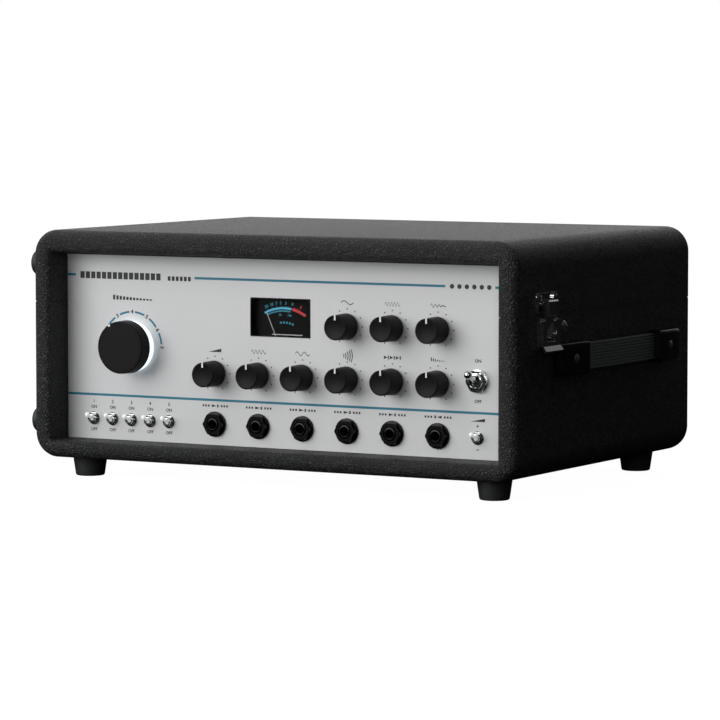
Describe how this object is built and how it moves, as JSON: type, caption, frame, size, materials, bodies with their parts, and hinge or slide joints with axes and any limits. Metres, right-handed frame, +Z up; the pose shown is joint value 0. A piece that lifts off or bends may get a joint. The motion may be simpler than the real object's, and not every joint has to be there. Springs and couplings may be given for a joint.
{
  "type": "tape echo unit",
  "caption": "Portable tape echo unit: vinyl-covered case with a hinged lid, silver control panel with knobs, switches, jacks and a level meter, and a tape transport inside.",
  "frame": {"origin": "the middle of the footprint on the surface that the rubber feet stand on", "axes": "+Z up, +X to the right seen from the front, -Y out of the control panel towards the player"},
  "size_m": [0.4374, 0.3074, 0.1892],
  "materials": {
    "case_vinyl": "plywood under black textured vinyl",
    "black_rubber": "matte moulded rubber",
    "silver_panel": "fine satin silver with teal printing",
    "black_plastic": "matte black",
    "gloss_black_plastic": "gloss black moulding",
    "knob_plastic": "satin dark grey",
    "chrome": "bright plated",
    "plated_steel": "zinc plated",
    "clear_acrylic": "clear polished acrylic",
    "lit_ring": "translucent white, lit from behind",
    "circuit_board": "green solder mask",
    "brown_tape": "smooth brown tape",
    "pale_needle": "pale painted"
  },
  "bodies": {
    "root": {"case_lower": "case_vinyl", "foot_front_left": "black_rubber", "foot_front_right": "black_rubber", "foot_rear_left": "black_rubber", "foot_rear_right": "black_rubber", "side_foot_lower_front": "black_rubber", "side_foot_lower_rear": "black_rubber", "hinge_lower": "plated_steel", "front_panel": "silver_panel", "mode_ring": "lit_ring", "meter_housing": "black_plastic", "meter_window": "clear_acrylic", "control_board": "circuit_board", "jack_input": "black_plastic", "jack_remote_speed": "black_plastic", "jack_remote_feedback": "black_plastic", "jack_chorus_cancel": "black_plastic", "jack_echo_cancel": "black_plastic", "jack_output": "black_plastic", "strap_handle": "black_rubber", "handle_cap_front": "gloss_black_plastic", "handle_cap_rear": "gloss_black_plastic", "latch_base_right": "chrome", "latch_base_left": "chrome", "chassis": "plated_steel", "motor": "plated_steel", "head_block": "plated_steel", "tape_loop": "brown_tape", "power_supply": "black_plastic"},
    "lid": {"case_lid": "case_vinyl", "hinge_upper": "plated_steel", "latch_strike_right": "chrome", "latch_strike_left": "chrome", "side_foot_upper_front": "black_rubber", "side_foot_upper_rear": "black_rubber"},
    "knob_input_level": {"knob_input_level": "knob_plastic"},
    "knob_chorus_rate": {"knob_chorus_rate": "knob_plastic"},
    "knob_chorus_depth": {"knob_chorus_depth": "knob_plastic"},
    "knob_reverb_level": {"knob_reverb_level": "knob_plastic"},
    "knob_speed": {"knob_speed": "knob_plastic"},
    "knob_echo_level": {"knob_echo_level": "knob_plastic"},
    "knob_bass": {"knob_bass": "knob_plastic"},
    "knob_treble": {"knob_treble": "knob_plastic"},
    "knob_feedback": {"knob_feedback": "knob_plastic"},
    "mode_knob": {"mode_knob": "knob_plastic"},
    "toggle_direct": {"toggle_direct": "chrome"},
    "toggle_motor": {"toggle_motor": "chrome"},
    "toggle_overdub": {"toggle_overdub": "chrome"},
    "toggle_echo": {"toggle_echo": "chrome"},
    "toggle_chorus": {"toggle_chorus": "chrome"},
    "toggle_output_level": {"toggle_output_level": "chrome"},
    "toggle_power": {"toggle_power": "chrome"},
    "meter_needle": {"meter_needle": "pale_needle"},
    "latch_lever_right": {"latch_lever_right": "chrome"},
    "latch_hook_right": {"latch_hook_right": "chrome"},
    "latch_lever_left": {"latch_lever_left": "chrome"},
    "latch_hook_left": {"latch_hook_left": "chrome"},
    "capstan": {"capstan": "plated_steel"},
    "pinch_arm": {"pinch_arm": "plated_steel"},
    "pinch_roller": {"pinch_roller": "black_rubber"}
  },
  "joints": [
    {"name": "lid_hinge", "type": "hinge", "parent": "root", "child": "lid", "pos_m": [0, 0.15015, 0.1343], "axis": [-1, 0, 0], "range_deg": [0, 100]},
    {"name": "turn_input_level", "type": "hinge", "parent": "root", "child": "knob_input_level", "pos_m": [-0.0595, -0.12725, 0.083], "axis": [0, 1, 0], "range_deg": [-150, 150]},
    {"name": "turn_chorus_rate", "type": "hinge", "parent": "root", "child": "knob_chorus_rate", "pos_m": [-0.02143, -0.12725, 0.083], "axis": [0, 1, 0], "range_deg": [-150, 150]},
    {"name": "turn_chorus_depth", "type": "hinge", "parent": "root", "child": "knob_chorus_depth", "pos_m": [0.01664, -0.12725, 0.083], "axis": [0, 1, 0], "range_deg": [-150, 150]},
    {"name": "turn_reverb_level", "type": "hinge", "parent": "root", "child": "knob_reverb_level", "pos_m": [0.05471, -0.12725, 0.083], "axis": [0, 1, 0], "range_deg": [-150, 150]},
    {"name": "turn_speed", "type": "hinge", "parent": "root", "child": "knob_speed", "pos_m": [0.09278, -0.12725, 0.083], "axis": [0, 1, 0], "range_deg": [-150, 150]},
    {"name": "turn_echo_level", "type": "hinge", "parent": "root", "child": "knob_echo_level", "pos_m": [0.13085, -0.12725, 0.083], "axis": [0, 1, 0], "range_deg": [-150, 150]},
    {"name": "turn_bass", "type": "hinge", "parent": "root", "child": "knob_bass", "pos_m": [0.05471, -0.12725, 0.1222], "axis": [0, 1, 0], "range_deg": [-150, 150]},
    {"name": "turn_treble", "type": "hinge", "parent": "root", "child": "knob_treble", "pos_m": [0.09278, -0.12725, 0.1222], "axis": [0, 1, 0], "range_deg": [-150, 150]},
    {"name": "turn_feedback", "type": "hinge", "parent": "root", "child": "knob_feedback", "pos_m": [0.13085, -0.12725, 0.1222], "axis": [0, 1, 0], "range_deg": [-150, 150]},
    {"name": "turn_mode", "type": "hinge", "parent": "root", "child": "mode_knob", "pos_m": [-0.1333, -0.12725, 0.1008], "axis": [0, 1, 0], "range_deg": [-60, 120]},
    {"name": "flip_direct", "type": "hinge", "parent": "root", "child": "toggle_direct", "pos_m": [-0.1682, -0.12945, 0.0446], "axis": [1, 0, 0], "range_deg": [0, 48]},
    {"name": "flip_motor", "type": "hinge", "parent": "root", "child": "toggle_motor", "pos_m": [-0.15127, -0.12945, 0.0446], "axis": [1, 0, 0], "range_deg": [0, 48]},
    {"name": "flip_overdub", "type": "hinge", "parent": "root", "child": "toggle_overdub", "pos_m": [-0.13434, -0.12945, 0.0446], "axis": [1, 0, 0], "range_deg": [0, 48]},
    {"name": "flip_echo", "type": "hinge", "parent": "root", "child": "toggle_echo", "pos_m": [-0.11741, -0.12945, 0.0446], "axis": [1, 0, 0], "range_deg": [0, 48]},
    {"name": "flip_chorus", "type": "hinge", "parent": "root", "child": "toggle_chorus", "pos_m": [-0.10048, -0.12945, 0.0446], "axis": [1, 0, 0], "range_deg": [0, 48]},
    {"name": "flip_output_level", "type": "hinge", "parent": "root", "child": "toggle_output_level", "pos_m": [0.1635, -0.12945, 0.0446], "axis": [1, 0, 0], "range_deg": [0, 48]},
    {"name": "flip_power", "type": "hinge", "parent": "root", "child": "toggle_power", "pos_m": [0.1637, -0.13025, 0.086], "axis": [1, 0, 0], "range_deg": [0, 48]},
    {"name": "needle_swing", "type": "hinge", "parent": "root", "child": "meter_needle", "pos_m": [-0.0026, -0.12185, 0.0979], "axis": [0, 1, 0], "range_deg": [-5, 57], "stiffness_Nm_per_rad": 0.0005},
    {"name": "latch_lever_right_pivot", "type": "hinge", "parent": "root", "child": "latch_lever_right", "pos_m": [0.2102, -0.10805, 0.1302], "axis": [0, -1, 0], "range_deg": [0, 100]},
    {"name": "latch_hook_right_pivot", "type": "hinge", "parent": "latch_lever_right", "child": "latch_hook_right", "pos_m": [0.21095, -0.10805, 0.1207], "axis": [0, -1, 0], "range_deg": [-100, 0]},
    {"name": "latch_lever_left_pivot", "type": "hinge", "parent": "root", "child": "latch_lever_left", "pos_m": [-0.2102, -0.10805, 0.1302], "axis": [0, 1, 0], "range_deg": [0, 100]},
    {"name": "latch_hook_left_pivot", "type": "hinge", "parent": "latch_lever_left", "child": "latch_hook_left", "pos_m": [-0.21095, -0.10805, 0.1207], "axis": [0, 1, 0], "range_deg": [-100, 0]},
    {"name": "capstan_spin", "type": "hinge", "parent": "root", "child": "capstan", "pos_m": [0.075, -0.04765, 0.1212], "axis": [0, 0, 1], "continuous": true},
    {"name": "pinch_arm_pivot", "type": "hinge", "parent": "root", "child": "pinch_arm", "pos_m": [0.035, -0.06785, 0.1212], "axis": [0, 0, -1], "range_deg": [0, 10]},
    {"name": "pinch_roller_spin", "type": "hinge", "parent": "pinch_arm", "child": "pinch_roller", "pos_m": [0.075, -0.06385, 0.1212], "axis": [0, 0, 1], "continuous": true}
  ],
  "couplings": [
    {"joint": "latch_hook_right_pivot", "follows": "latch_lever_right_pivot", "ratio": -1},
    {"joint": "latch_hook_left_pivot", "follows": "latch_lever_left_pivot", "ratio": -1},
    {"joint": "pinch_roller_spin", "follows": "capstan_spin", "ratio": -0.36364}
  ]
}
